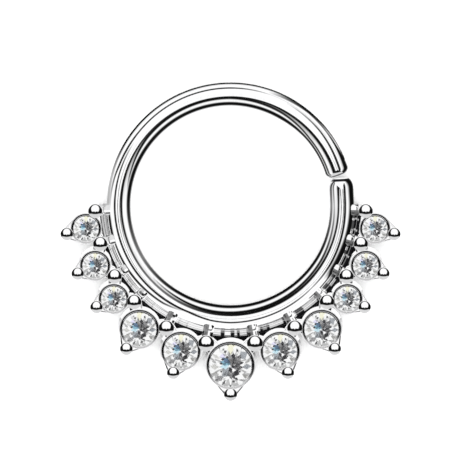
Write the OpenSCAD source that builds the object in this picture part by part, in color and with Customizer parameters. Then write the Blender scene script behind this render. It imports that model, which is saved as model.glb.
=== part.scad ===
// Septum ring: a bendable cut hoop of round wire with a soldered fan of eleven
// set stones. Millimetres. The hoop lies flat: its axis is +Z, the stones face
// +Z, the back touches z = 0 and the fan hangs towards -Y.

/* [Hoop] */
// Diameter of the round wire
wire_d = 1.2; // [0.8:0.1:1.6]
// Clear diameter inside the hoop
inner_d = 10; // [6:0.5:14]
// Angle from the bottom of the hoop, towards +X, where the fixed lower end stops
gap_low_deg = 104.2; // [95:0.1:120]
// Angle from the bottom where the upper end stops
gap_high_deg = 106.1; // [96:0.1:125]
// Length of the straight stretch at the lower end
straight_len = 1.05; // [0.4:0.05:2]
// Edge rounding of both wire ends
end_round = 0.3; // [0.1:0.05:0.5]

/* [Settings] */
// Chamfer of a cup's rim
rim_chamfer = 0.03; // [0.01:0.01:0.05]
// Height of the rim above the stone's girdle
rim_lip = 0.1; // [0.04:0.01:0.2]
// Rim height of the ten side cups
side_rim_z = 1.3; // [1:0.05:1.6]
// Rim height of the centre cup
centre_rim_z = 1.45; // [1:0.05:1.8]
// Radius of the hole in a cup's back, as a share of the stone's radius
back_hole_share = 0.62; // [0.4:0.02:0.8]

/* [Beads] */
// Height of the centres of the beads between cups
shared_bead_z = 1.36; // [1:0.02:1.8]
// Height of the centres of the beads at the fan's rim
outer_bead_z = 1.3; // [1:0.02:1.8]
// Radius of the post under a bead, as a share of the bead's radius
post_share = 0.84; // [0.5:0.02:0.95]
// How far a cup's foot flares out
foot_flare = 0.1; // [0.04:0.01:0.14]
// Height where the flare ends
foot_flare_z = 0.5; // [0.35:0.01:0.7]
// Top of the claw that joins a cup to its outer bead
claw_top_z = 1.12; // [0.6:0.02:1.3]

/* [Gallery] */
// Radius to the outer face of the rail soldered to the wire
rail_r = 6.28; // [6.2:0.01:6.4]
// Bottom of that rail
rail_low_z = 0.3; // [0.1:0.05:0.5]
// Top of that rail
rail_high_z = 0.86; // [0.6:0.02:1.1]
// Half angle of the rail, from the bottom of the hoop
rail_half_deg = 91; // [80:0.5:100]
// Width of the bars from rail to bead
bar_w = 0.5; // [0.2:0.02:0.6]
// Top of those bars
bar_high_z = 1.02; // [0.7:0.02:1.2]
// Inner radius of the plate behind the fan
plate_in_r = 6.15; // [6.12:0.01:6.3]
// Outer radius of that plate
plate_out_r = 6.92; // [6.7:0.01:7.1]
// Top of that plate
plate_z = 0.3; // [0.2:0.02:0.4]
// Inner radius of the thin rail that stands on the plate
back_rail_in_r = 6.38; // [6.32:0.01:6.45]
// Outer radius of the thin rail
back_rail_out_r = 6.54; // [6.5:0.01:6.6]
// Top of the thin rail
back_rail_z = 0.8; // [0.4:0.02:1]
// Top of the webs between a bead's post and its two cups
web_high_z = 0.94; // [0.5:0.02:1.2]

/* [Stones] */
// Clearance between a stone and its cup
stone_gap = 0.02; // [0.01:0.005:0.05]
// Table radius as a share of the girdle radius
table_share = 0.56; // [0.5:0.01:0.65]
// Crown height as a share of the girdle radius
crown_share = 0.32; // [0.2:0.01:0.4]
// Pavilion depth as a share of the girdle radius
pavilion_share = 0.86; // [0.7:0.01:0.95]
// Girdle thickness as a share of the girdle radius
girdle_share = 0.06; // [0.02:0.01:0.12]
// Radius of the star points as a share of the girdle radius
star_share = 0.8; // [0.7:0.01:0.9]
// Radius of the lower girdle points as a share of the girdle radius
lower_share = 0.22; // [0.15:0.01:0.4]

/* [Hidden] */
$fn = 48;

wire_r = wire_d / 2;
hoop_r = inner_d / 2 + wire_r;

// Columns of the table of cups
CUP_ANGLE = 0;    // from the bottom of the hoop
CUP_DIST = 1;     // from the hoop's axis
CUP_STONE_R = 2;
CUP_OUT_R = 3;
CLAW_ANGLE = 4;   // direction of the claw, from the bottom of the hoop
CLAW_REACH = 5;   // from the cup's centre to the outer bead's
OUTER_BEAD_R = 6;
// Cups of one half of the fan, the centre one first
CUPS = [
    [ 0.0,  7.945, 1.10, 1.22,  0.0, 1.486, 0.335],
    [18.97, 7.657, 0.88, 1.00, 19.6, 1.164, 0.315],
    [36.70, 7.645, 0.88, 1.00, 33.5, 1.190, 0.320],
    [51.80, 7.444, 0.65, 0.77, 64.8, 0.957, 0.315],
    [66.60, 7.382, 0.65, 0.77, 65.6, 0.957, 0.315],
    [81.55, 7.301, 0.65, 0.77, 74.6, 0.995, 0.320]
];

// Columns of the table of beads
BEAD_ANGLE = 0;   // from the bottom of the hoop
BEAD_DIST = 1;    // from the hoop's axis
BEAD_R = 2;
// Beads of one half of the fan: those between the cups, and the end one
BEADS = [
    [10.13, 6.941, 0.410],
    [27.95, 6.858, 0.392],
    [45.50, 6.767, 0.372],
    [59.20, 6.749, 0.366],
    [74.35, 6.760, 0.362],
    [88.50, 6.753, 0.356]
];
LAST_BEAD = len(BEADS) - 1;

// Feet of the posts, bars and webs, a little above the plane of the cups' backs
post_foot_z = 0.05;
bar_foot_z = 0.16;
web_foot_z = 0.1;
// Width of a web as a share of its post's radius
web_share = 2;
// How far out in the wire the bars and the rail start, as shares of the wire's radius
bar_start_share = 0.5;
rail_start_share = 0.58;
bar_inner_r = hoop_r + wire_r * bar_start_share;
rail_inner_r = hoop_r + wire_r * rail_start_share;
// Straight stretch of the upper end before its rounding
tip_straight = 0.1;
tip_len = end_round + tip_straight;
// How much slimmer both ends are than the wire
tip_step = 0.004;
// How far a claw's sides start inside its cup and its post
claw_cup_share = 0.99;
claw_post_share = 0.98;
// How far a hollow's tool runs past the metal
overrun = 1;
// Chords in the rounding of a wire end
round_steps = 5;

// Unit direction at an angle from the bottom of the hoop, towards +X
function from_bottom(deg) = [sin(deg), -cos(deg)];
function along(deg, dist) = dist * from_bottom(deg);
function rim_z(i) = i == 0 ? centre_rim_z : side_rim_z;
function girdle_top_z(i) = rim_z(i) - rim_lip;
function cup_at(i, side) = along(side * CUPS[i][CUP_ANGLE], CUPS[i][CUP_DIST]);
function bead_at(i, side) = along(side * BEADS[i][BEAD_ANGLE], BEADS[i][BEAD_DIST]);
function outer_at(i, side) = cup_at(i, side) + along(side * CUPS[i][CLAW_ANGLE], CUPS[i][CLAW_REACH]);
// Side of the fan that a cup is built on: the centre cup is built once
function sides(i) = i == 0 ? [1] : [-1, 1];

module at(p, z = 0) { translate([p[0], p[1], z]) children(); }

// Straight piece along +Z with a rounded far edge, for a wire end
module wire_tip(length) {
    r = wire_r - tip_step;
    corner = [for (k = [0 : round_steps]) let (a = 90 * k / round_steps)
        [r - end_round + end_round * cos(a), length - end_round + end_round * sin(a)]];
    rotate_extrude() polygon(concat([[0, 0], [r, 0]], corner, [[0, length]]));
}

module hoop() {
    straight_deg = atan(straight_len / hoop_r);
    tip_deg = atan(tip_len / hoop_r);
    low = gap_low_deg - straight_deg;
    high = gap_high_deg + tip_deg;
    rotate([0, 0, high - 90])
        rotate_extrude(angle = 360 - high + low)
            translate([hoop_r, wire_r]) circle(r = wire_r);
    rotate([0, 0, low - 90]) translate([hoop_r, 0, wire_r]) rotate([-90, 0, 0]) wire_tip(straight_len);
    rotate([0, 0, high - 90]) translate([hoop_r, 0, wire_r]) rotate([90, 0, 0]) wire_tip(tip_len);
}

// Ring sector about the hoop's axis, centred on the bottom of the hoop
module sector(inner, outer, low, high, half_deg) {
    rotate([0, 0, -90 - half_deg])
        rotate_extrude(angle = 2 * half_deg)
            translate([inner, low]) square([outer - inner, high - low]);
}

// Bar of a given width from one point to another
module bar(from, to, width, low, high) {
    run = to - from;
    at(from, low) rotate([0, 0, atan2(run[1], run[0])])
        translate([0, -width / 2, 0]) cube([norm(run), width, high - low]);
}

module gallery() {
    sector(rail_inner_r, rail_r, rail_low_z, rail_high_z, rail_half_deg);
    sector(plate_in_r, plate_out_r, post_foot_z, plate_z, BEADS[LAST_BEAD][BEAD_ANGLE]);
    sector(back_rail_in_r, back_rail_out_r, web_foot_z, back_rail_z, BEADS[LAST_BEAD][BEAD_ANGLE]);
    for (i = [0 : LAST_BEAD], side = [-1, 1])
        bar(along(side * BEADS[i][BEAD_ANGLE], bar_inner_r), bead_at(i, side), bar_w, bar_foot_z, bar_high_z);
}

// Round bead on a post
module bead(r, z) {
    translate([0, 0, post_foot_z]) cylinder(r = r * post_share, h = z - post_foot_z);
    translate([0, 0, z]) sphere(r = r);
}

module shared_beads() {
    for (i = [0 : LAST_BEAD], side = [-1, 1]) {
        at(bead_at(i, side)) bead(BEADS[i][BEAD_R], shared_bead_z);
        width = web_share * BEADS[i][BEAD_R] * post_share;
        for (k = [i : min(i + 1, len(CUPS) - 1)])
            bar(bead_at(i, side), cup_at(k, side), width, web_foot_z, web_high_z);
    }
}

// Outside of a cup with a flared foot and a chamfered rim
module cup_body(i) {
    out_r = CUPS[i][CUP_OUT_R];
    top = rim_z(i);
    rotate_extrude()
        polygon([[0, 0], [out_r + foot_flare, 0], [out_r + foot_flare, plate_z], [out_r, foot_flare_z],
                 [out_r, top - rim_chamfer], [out_r - rim_chamfer, top], [0, top]]);
}

// Claw that narrows from the cup to its outer bead, along the common tangents
module claw(i, side) {
    cup_r = CUPS[i][CUP_OUT_R] * claw_cup_share;
    post_r = CUPS[i][OUTER_BEAD_R] * post_share * claw_post_share;
    spread = acos((cup_r - post_r) / CUPS[i][CLAW_REACH]);
    dir = side * CUPS[i][CLAW_ANGLE];
    a = cup_at(i, side);
    b = outer_at(i, side);
    translate([0, 0, web_foot_z]) linear_extrude(height = claw_top_z - web_foot_z)
        polygon([a + along(dir - spread, cup_r), b + along(dir - spread, post_r),
                 b + along(dir + spread, post_r), a + along(dir + spread, cup_r), a]);
}

module setting(i, side) {
    at(cup_at(i, side)) cup_body(i);
    claw(i, side);
    at(outer_at(i, side)) bead(CUPS[i][OUTER_BEAD_R], outer_bead_z);
}

// Hollow for a stone: open back, cone seat along the pavilion, straight wall, chamfered mouth
module pocket(i) {
    r = CUPS[i][CUP_STONE_R] + stone_gap;
    hole = CUPS[i][CUP_STONE_R] * back_hole_share;
    top = rim_z(i);
    seat = girdle_top_z(i) - CUPS[i][CUP_STONE_R] * girdle_share - stone_gap;
    foot = seat - pavilion_share * (r - hole);
    rotate_extrude()
        polygon([[0, -overrun], [hole, -overrun], [hole, foot], [r, seat], [r, top - rim_chamfer],
                 [r + rim_chamfer, top], [r + rim_chamfer, top + overrun], [0, top + overrun]]);
}

module hoop_and_fan() color("silver") {
    difference() {
        union() {
            hoop();
            gallery();
            shared_beads();
            for (i = [0 : len(CUPS) - 1], side = sides(i)) setting(i, side);
        }
        for (i = [0 : len(CUPS) - 1], side = sides(i)) at(cup_at(i, side)) pocket(i);
    }
}

// Round brilliant on the origin: eight mains, their star, upper and lower girdle facets
module brilliant(r) {
    crown = crown_share * r;
    girdle = girdle_share * r;
    depth = pavilion_share * r;
    star_z = crown * (1 - star_share * cos(22.5)) / (1 - table_share);
    lower_z = -girdle - depth * (1 - lower_share * cos(22.5));
    function ring(radius, count, first, z) =
        [for (k = [0 : count - 1]) let (a = first + 360 * k / count) [radius * cos(a), radius * sin(a), z]];
    // First point of each ring
    TABLE = 0;
    STAR = 8;
    UPPER = 16;
    UNDER = 32;
    LOWER = 48;
    CULET = 56;
    function star(k) = STAR + (k + 8) % 8;
    function up(k) = UPPER + (k + 16) % 16;
    function down(k) = UNDER + (k + 16) % 16;
    function low(k) = LOWER + (k + 8) % 8;
    points = concat(ring(table_share * r, 8, 0, crown), ring(star_share * r, 8, 22.5, star_z),
        ring(r, 16, 0, 0), ring(r, 16, 0, -girdle), ring(lower_share * r, 8, 22.5, lower_z),
        [[0, 0, -girdle - depth]]);
    faces = concat(
        [[for (k = [7 : -1 : 0]) TABLE + k]],
        [for (k = [0 : 7]) [TABLE + k, TABLE + (k + 1) % 8, star(k)]],
        [for (k = [0 : 7]) [TABLE + k, star(k), up(2 * k), star(k - 1)]],
        [for (k = [0 : 7]) [star(k), up(2 * k + 1), up(2 * k)]],
        [for (k = [0 : 7]) [star(k), up(2 * k + 2), up(2 * k + 1)]],
        [for (k = [0 : 15]) [up(k), up(k + 1), down(k + 1), down(k)]],
        [for (k = [0 : 7]) [down(2 * k), down(2 * k + 1), low(k)]],
        [for (k = [0 : 7]) [down(2 * k + 1), down(2 * k + 2), low(k)]],
        [for (k = [0 : 7]) [down(2 * k), low(k), CULET, low(k - 1)]]);
    polyhedron(points = points, faces = faces);
}

module stone(i, side) color("white")
    at(cup_at(i, side), girdle_top_z(i)) brilliant(CUPS[i][CUP_STONE_R]);

hoop_and_fan();
stone(0, 1);  // stone_centre
stone(1, -1);  // stone_left_1
stone(2, -1);  // stone_left_2
stone(3, -1);  // stone_left_3
stone(4, -1);  // stone_left_4
stone(5, -1);  // stone_left_5
stone(1, 1);  // stone_right_1
stone(2, 1);  // stone_right_2
stone(3, 1);  // stone_right_3
stone(4, 1);  // stone_right_4
stone(5, 1);  // stone_right_5
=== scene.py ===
"""Looks of a septum ring: a cut hoop of polished wire with a soldered fan of eleven set stones.

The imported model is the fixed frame. The hoop's axis is +Z, the stones face +Z and the fan lies
towards -Y. The ring lies on its back on a pale floor, seen from nearly straight above.
"""

import logging
import math
from collections.abc import Callable, Sequence
from dataclasses import dataclass, field
from enum import Enum

import bmesh
import bpy
import numpy as np
from mathutils import Matrix, Vector


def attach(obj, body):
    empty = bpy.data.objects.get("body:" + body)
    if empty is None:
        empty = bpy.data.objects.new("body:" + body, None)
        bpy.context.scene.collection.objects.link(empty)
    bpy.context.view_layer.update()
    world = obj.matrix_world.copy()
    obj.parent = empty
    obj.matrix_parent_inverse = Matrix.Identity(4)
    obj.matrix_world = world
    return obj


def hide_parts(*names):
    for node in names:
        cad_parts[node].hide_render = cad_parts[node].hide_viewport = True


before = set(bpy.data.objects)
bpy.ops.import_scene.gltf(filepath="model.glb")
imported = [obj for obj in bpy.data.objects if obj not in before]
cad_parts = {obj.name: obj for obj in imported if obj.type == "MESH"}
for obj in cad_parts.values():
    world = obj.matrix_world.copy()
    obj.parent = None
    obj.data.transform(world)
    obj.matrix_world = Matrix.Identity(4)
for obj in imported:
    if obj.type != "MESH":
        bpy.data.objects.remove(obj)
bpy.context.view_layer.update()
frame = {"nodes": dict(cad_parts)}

# Metres in a millimetre, and millimetres in a metre
MM = 0.001
MM_PER_M = 1000.0

UP = Vector((0, 0, 1))

# The body and the metal's solid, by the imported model's names
BODY = "root"
METAL_NODE = "hoop_and_fan"

# The values that meshes carry to their materials
# Painted shade, from 0 to 1, that darkens the steel's colour
PAINTED_SHADE = "painted_shade"
PLAN = "plan"
CARD_TONE = "card_tone"

# A turned part's points nearer to its axis than this are on it, in millimetres
ON_AXIS = 1e-7

# Chords in the rounded edge of a rail, bar or claw
EDGE_STEPS = 5

log = logging.getLogger("septum_ring")

Point = tuple[float, float]
Point3 = tuple[float, float, float]
Colour = tuple[float, float, float]
Face = tuple[int, ...]
Part = tuple[list[Point3], list[Face]]
Station = tuple[Vector, Vector, Vector]
WireStation = tuple[Vector, Vector, float]


class Side(Enum):
    """Which half of the fan a piece is on, as the sign of its angle."""

    LEFT = -1
    RIGHT = 1


class RecordSlot(Enum):
    """The record's material slots."""

    STEEL = "polished_steel"
    STONE = "clear_stone"


# Sizes


@dataclass(frozen=True)
class CupRow:
    """One cup of the fan, in millimetres and degrees from the bottom of the hoop."""

    angle: float
    distance: float
    stone_r: float
    outer_r: float
    claw_angle: float
    claw_reach: float
    bead_r: float
    rim_z: float


@dataclass(frozen=True)
class BeadRow:
    """One bead between two cups, in millimetres and degrees from the bottom of the hoop."""

    angle: float
    distance: float
    radius: float


@dataclass(frozen=True)
class FanSizes:
    """Everything that the fan's pieces share, in millimetres."""

    cups: tuple[CupRow, ...] = (
        CupRow(0.0, 7.945, 1.10, 1.22, 0.0, 1.486, 0.335, 1.45),
        CupRow(18.97, 7.657, 0.88, 1.00, 19.6, 1.164, 0.315, 1.30),
        CupRow(36.70, 7.645, 0.88, 1.00, 33.5, 1.190, 0.320, 1.30),
        CupRow(51.80, 7.444, 0.65, 0.77, 64.8, 0.957, 0.315, 1.30),
        CupRow(66.60, 7.382, 0.65, 0.77, 65.6, 0.957, 0.315, 1.30),
        CupRow(81.55, 7.301, 0.65, 0.77, 74.6, 0.995, 0.320, 1.30),
    )
    beads: tuple[BeadRow, ...] = (
        BeadRow(10.13, 6.941, 0.410),
        BeadRow(27.95, 6.858, 0.392),
        BeadRow(45.50, 6.767, 0.372),
        BeadRow(59.20, 6.749, 0.366),
        BeadRow(74.35, 6.760, 0.362),
        BeadRow(88.50, 6.753, 0.356),
    )
    rim_lip: float = 0.10
    stone_gap: float = 0.02
    girdle_share: float = 0.06
    pavilion_share: float = 0.86
    back_hole_share: float = 0.62
    shared_bead_z: float = 1.36
    outer_bead_z: float = 1.30
    post_share: float = 0.84
    post_foot_z: float = 0.05
    claw_top_z: float = 1.12

    def girdle_z(self, cup: CupRow) -> float:
        """Height of the top of a stone's girdle."""
        return cup.rim_z - self.rim_lip


def from_bottom(degrees: float, distance: float) -> Point:
    """A point at an angle from the bottom of the hoop, towards +X.

    Args:
        degrees: The angle.
        distance: The distance from the hoop's axis.

    Returns:
        The point's x and y.
    """
    a = math.radians(degrees)
    return (distance * math.sin(a), -distance * math.cos(a))


def angle_of(point: Point3) -> float:
    """A place's angle from the bottom of the hoop, towards +X, in degrees."""
    return math.degrees(math.atan2(point[0], -point[1]))


def clamped(value: float) -> float:
    """The value, kept between 0 and 1."""
    return min(max(value, 0.0), 1.0)


# Mesh making


@dataclass
class Skin:
    """Vertices and faces of one piece, gathered part by part, in millimetres."""

    points: list[Point3] = field(default_factory=list)
    faces: list[Face] = field(default_factory=list)
    # Painted shade of each vertex, from 0 to 1
    painted_shade: list[float] = field(default_factory=list)
    large_face_weight: int = 80

    def add(
        self,
        points: Sequence[Point3],
        faces: Sequence[Face],
        painted_shade: Callable[[Point3], float] = lambda point: 0.0,
    ) -> None:
        """Adds a closed part.

        Args:
            points: The part's vertices.
            faces: The part's faces, as indices into its own vertices.
            painted_shade: How much painted shade a vertex gets, from 0 to 1.
        """
        base = len(self.points)
        self.points.extend(tuple(float(c) for c in p) for p in points)
        self.faces.extend(tuple(base + i for i in f) for f in faces)
        self.painted_shade.extend(painted_shade(p) for p in points)

    def piece(self, name: str, sharp_deg: float = 32.0) -> bpy.types.Object:
        """Makes the gathered parts one smooth object.

        Args:
            name: The object's name.
            sharp_deg: Edges that turn more than this stay sharp.

        Returns:
            The object, linked to the scene.
        """
        mesh = bpy.data.meshes.new(name)
        mesh.from_pydata([(x * MM, y * MM, z * MM) for x, y, z in self.points], [], self.faces)
        # Each vertex's painted shade, which the steel's colour reads
        depth = mesh.attributes.new(PAINTED_SHADE, "FLOAT", "POINT")
        depth.data.foreach_set("value", self.painted_shade)
        bm = bmesh.new()
        bm.from_mesh(mesh)
        bmesh.ops.recalc_face_normals(bm, faces=bm.faces[:])
        limit = math.radians(sharp_deg)
        for edge in bm.edges:
            if len(edge.link_faces) == 2:
                edge.smooth = edge.calc_face_angle(0.0) < limit
        for face in bm.faces:
            face.smooth = True
        bm.to_mesh(mesh)
        bm.free()
        made = new_object(name, mesh)
        even = made.modifiers.new("even_normals", "WEIGHTED_NORMAL")
        even.keep_sharp = True
        even.weight = self.large_face_weight
        return made

    def metal(self, name: str, steel: bpy.types.Material) -> bpy.types.Object:
        """Makes the gathered parts one piece of the soldered metal."""
        return dress(self.piece(name), steel, RecordSlot.STEEL, METAL_NODE)


def new_object(name: str, data: bpy.types.ID) -> bpy.types.Object:
    """Makes an object and links it to the scene.

    Args:
        name: The object's name.
        data: Its mesh or camera.

    Returns:
        The object.
    """
    made = bpy.data.objects.new(name, data)
    bpy.context.scene.collection.objects.link(made)
    return made


def dress(
    piece: bpy.types.Object, finish: bpy.types.Material, slot: RecordSlot, node: str
) -> bpy.types.Object:
    """Gives a piece its finish, sets it on the ring's body and lets it stand for a solid.

    Metal is left out of other pieces' mirrors, so that they show the studio only.

    Args:
        piece: The piece.
        finish: Its material.
        slot: The record's slot for that finish.
        node: The solid that it stands for.

    Returns:
        The piece.
    """
    piece.data.materials.clear()
    piece.data.materials.append(finish)
    piece.visible_glossy = slot is RecordSlot.STONE
    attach(piece, BODY)
    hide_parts(node)
    log.info("%s: %d faces", piece.name, len(piece.data.polygons))
    return piece


def rounded(corners: Sequence[Point3], steps: int = 6) -> list[Point]:
    """A closed outline with its corners rounded.

    Args:
        corners: Each corner's two coordinates and its rounding radius, 0 for a sharp one.
        steps: Chords in each rounding.

    Returns:
        The outline's points, in the corners' order.
    """
    out: list[Point] = []
    n = len(corners)
    for i, (x, y, r) in enumerate(corners):
        if r <= 0:
            out.append((x, y))
            continue
        here = Vector((x, y))
        back = (Vector(corners[i - 1][:2]) - here).normalized()
        on = (Vector(corners[(i + 1) % n][:2]) - here).normalized()
        half = back.angle(on) / 2
        reach = r / math.tan(half)
        centre = here + (back + on).normalized() * (r / math.sin(half))
        a = here + back * reach - centre
        b = here + on * reach - centre
        turn = a.angle_signed(b)
        for k in range(steps + 1):
            spun = a.copy()
            spun.rotate(Matrix.Rotation(-turn * k / steps, 2))
            out.append(tuple(centre + spun))
    return out


def lathe(outline: Sequence[Point], centre: Point, segments: int, closed: bool) -> Part:
    """Turns an outline about an upright axis.

    Args:
        outline: Radius and height of each point. An open outline starts and ends on the axis.
        centre: The axis's x and y.
        segments: Steps round the axis.
        closed: True if the outline joins up, as that of a ring does.

    Returns:
        The vertices and faces.
    """
    points: list[Point3] = []
    rows: list[list[int]] = []
    for r, z in outline:
        if r < ON_AXIS:
            rows.append([len(points)] * segments)
            points.append((centre[0], centre[1], z))
            continue
        rows.append(list(range(len(points), len(points) + segments)))
        for k in range(segments):
            a = 2 * math.pi * k / segments
            points.append((centre[0] + r * math.cos(a), centre[1] + r * math.sin(a), z))
    faces: list[Face] = []
    pairs = list(zip(rows, rows[1:] + rows[:1]))
    for low, high in pairs if closed else pairs[:-1]:
        for k in range(segments):
            j = (k + 1) % segments
            ring = [low[k], low[j], high[j], high[k]]
            faces.append(tuple(dict.fromkeys(ring)))
    return points, [f for f in faces if len(f) > 2]


def tube_faces(rows: int, around: int, capped: bool = True) -> list[Face]:
    """Faces of a tube whose vertices run row by row.

    Args:
        rows: How many rows of vertices the tube has.
        around: Vertices in each row.
        capped: True if a flat face closes each end.

    Returns:
        The faces.
    """
    faces: list[Face] = []
    for s in range(rows - 1):
        low, high = s * around, (s + 1) * around
        for k in range(around):
            j = (k + 1) % around
            faces.append((low + k, low + j, high + j, high + k))
    if capped:
        last = (rows - 1) * around
        faces.append(tuple(range(around)))
        faces.append(tuple(last + k for k in reversed(range(around))))
    return faces


def sweep(section: Sequence[Point], stations: Sequence[Station]) -> Part:
    """Carries a closed section along stations, and closes both ends flat.

    Args:
        section: The section's points, as sideways and upwards amounts.
        stations: Each station's place, sideways direction and upward direction.

    Returns:
        The vertices and faces.
    """
    points = [tuple(at + side * u + up * v) for at, side, up in stations for u, v in section]
    return points, tube_faces(len(stations), len(section))


@dataclass(frozen=True)
class BarSection:
    """A straight bar's section in millimetres, with a narrow ridge along its top."""

    width: float
    low: float
    high: float
    rounding: float
    ridge_share: float = 0.04

    def outline(self) -> list[Point]:
        """Lays out the section.

        Returns:
            Its points, as sideways and upwards amounts.
        """
        half, ridge, r = self.width / 2, self.ridge_share * self.width / 2, self.rounding
        corners = [
            (-half, self.low, r),
            (half, self.low, r),
            (half, self.high, r),
            (ridge, self.high, 0.0),
            (-ridge, self.high, 0.0),
            (-half, self.high, r),
        ]
        return rounded(corners, EDGE_STEPS)


def bar(skin: Skin, start: Point, end: Point, section: BarSection, flank_shade: float = 0.0) -> None:
    """Adds a straight bar with rounded edges, whose ends are buried in what it joins.

    Args:
        skin: What the bar is added to.
        start: One end's x and y.
        end: The other end's x and y.
        section: The bar's section.
        flank_shade: How much painted shade the half of it towards -X gets.
    """
    a, b = Vector((*start, 0)), Vector((*end, 0))
    side = (b - a).normalized().cross(UP)
    left = -1.0 if side.x > 0 else 1.0

    def flank(point: Point3) -> float:
        """The painted shade on the half towards -X."""
        return flank_shade * float((Vector((*point[:2], 0)) - a).dot(side) * left > 0)

    skin.add(*sweep(section.outline(), [(a, side, UP), (b, side, UP)]), flank)


# The metal


@dataclass(frozen=True)
class WireSizes:
    """The hoop's wire, in millimetres and degrees from the bottom of the hoop."""

    wire_d: float = 1.2
    inner_d: float = 10.0
    gap_low_deg: float = 104.2
    gap_high_deg: float = 106.1
    straight_len: float = 1.05
    end_round: float = 0.3
    lower_taper: float = 0.5
    upper_straight: float = 0.1

    @property
    def wire_r(self) -> float:
        """Radius of the wire."""
        return self.wire_d / 2

    @property
    def hoop_r(self) -> float:
        """Radius of the wire's centre line."""
        return self.inner_d / 2 + self.wire_r


@dataclass
class Hoop:
    """The cut hoop of round wire.

    Where a tip narrows, its rings with a radius between dark_from and dark_to get painted
    shade, a painted dark outline on the tip.
    """

    wire: WireSizes
    around: int = 72
    arc_steps: int = 420
    straight_steps: int = 6
    tip_steps: int = 12
    dark_from: float = 0.34
    dark_to: float = 0.495

    def straight_end(self, at_deg: float, length: float, sign: int, taper: float) -> list[WireStation]:
        """Lays out one straight end, from its joint with the arc to its tip.

        Args:
            at_deg: Where the arc ends, in degrees from the bottom of the hoop.
            length: How far the end runs on from there.
            sign: 1 if it runs towards larger angles, -1 if towards smaller ones.
            taper: How much of its length narrows to the tip.

        Returns:
            Its stations.
        """
        w = self.wire
        x, y = from_bottom(at_deg, 1.0)
        outward, along = Vector((x, y, 0)), Vector((-y, x, 0)) * sign
        base = outward * w.hoop_r
        made: list[WireStation] = []
        for k in range(self.straight_steps):
            place = base + along * (length - taper) * k / self.straight_steps
            made.append((place, outward, w.wire_r))
        for k in range(self.tip_steps + 1):
            t = math.pi / 2 * k / self.tip_steps
            reach = length - taper * (1 - math.sin(t))
            narrowed = w.wire_r - w.end_round * (1 - math.cos(t))
            made.append((base + along * reach, outward, narrowed))
        return made

    def centre_line(self) -> list[WireStation]:
        """Lays out the wire's centre line from the upper end to the lower.

        Returns:
            Each station's place, the direction away from the hoop's axis, and the wire's radius.
        """
        w = self.wire
        tip_len = w.end_round + w.upper_straight
        low = w.gap_low_deg - math.degrees(math.atan(w.straight_len / w.hoop_r))
        high = w.gap_high_deg + math.degrees(math.atan(tip_len / w.hoop_r))
        upper_end = self.straight_end(high, tip_len, -1, w.end_round)
        out = upper_end[::-1]
        span = 360.0 - high + low
        for k in range(1, self.arc_steps):
            x, y = from_bottom(high + span * k / self.arc_steps, 1.0)
            outward = Vector((x, y, 0))
            out.append((outward * w.hoop_r, outward, w.wire_r))
        out.extend(self.straight_end(low, w.straight_len, 1, w.lower_taper))
        return out

    def build(self, steel: bpy.types.Material) -> bpy.types.Object:
        """Builds the wire as one closed skin.

        Args:
            steel: The wire's material.

        Returns:
            The wire.
        """
        skin = Skin()
        points: list[Point3] = []
        dark: list[float] = []
        stations = self.centre_line()
        middle = self.wire.wire_r
        n, m = self.around, len(stations)
        for at, outward, r in stations:
            # Painted shade: a dark outline ring on each narrowing tip
            dark.extend([float(self.dark_from < r < self.dark_to)] * n)
            for k in range(n):
                a = 2 * math.pi * k / n
                points.append(tuple(at + outward * (r * math.cos(a)) + UP * (middle + r * math.sin(a))))
        faces = tube_faces(m, n, capped=False)
        for s, turn in ((0, 1), (m - 1, -1)):
            tip = len(points)
            points.append(tuple(stations[s][0] + UP * middle))
            faces.extend((tip, s * n + k, s * n + (k + 1) % n)[::turn] for k in range(n))
        skin.add(points, faces)
        skin.painted_shade[: len(dark)] = dark
        return skin.metal("hoop_wire", steel)


@dataclass(frozen=True)
class RingSection:
    """A ring sector's section about the hoop's axis, in millimetres."""

    inner: float
    outer: float
    low: float
    high: float
    rounding: float = 0.045


@dataclass(frozen=True)
class Window:
    """A dark window of painted shade on the gallery, in degrees from the bottom of the hoop.

    No opening is cut. frame is the width of its painted dark border in degrees, and glow is how
    much painted light its middle gets.
    """

    start: float
    end: float
    frame: float
    glow: float


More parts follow.
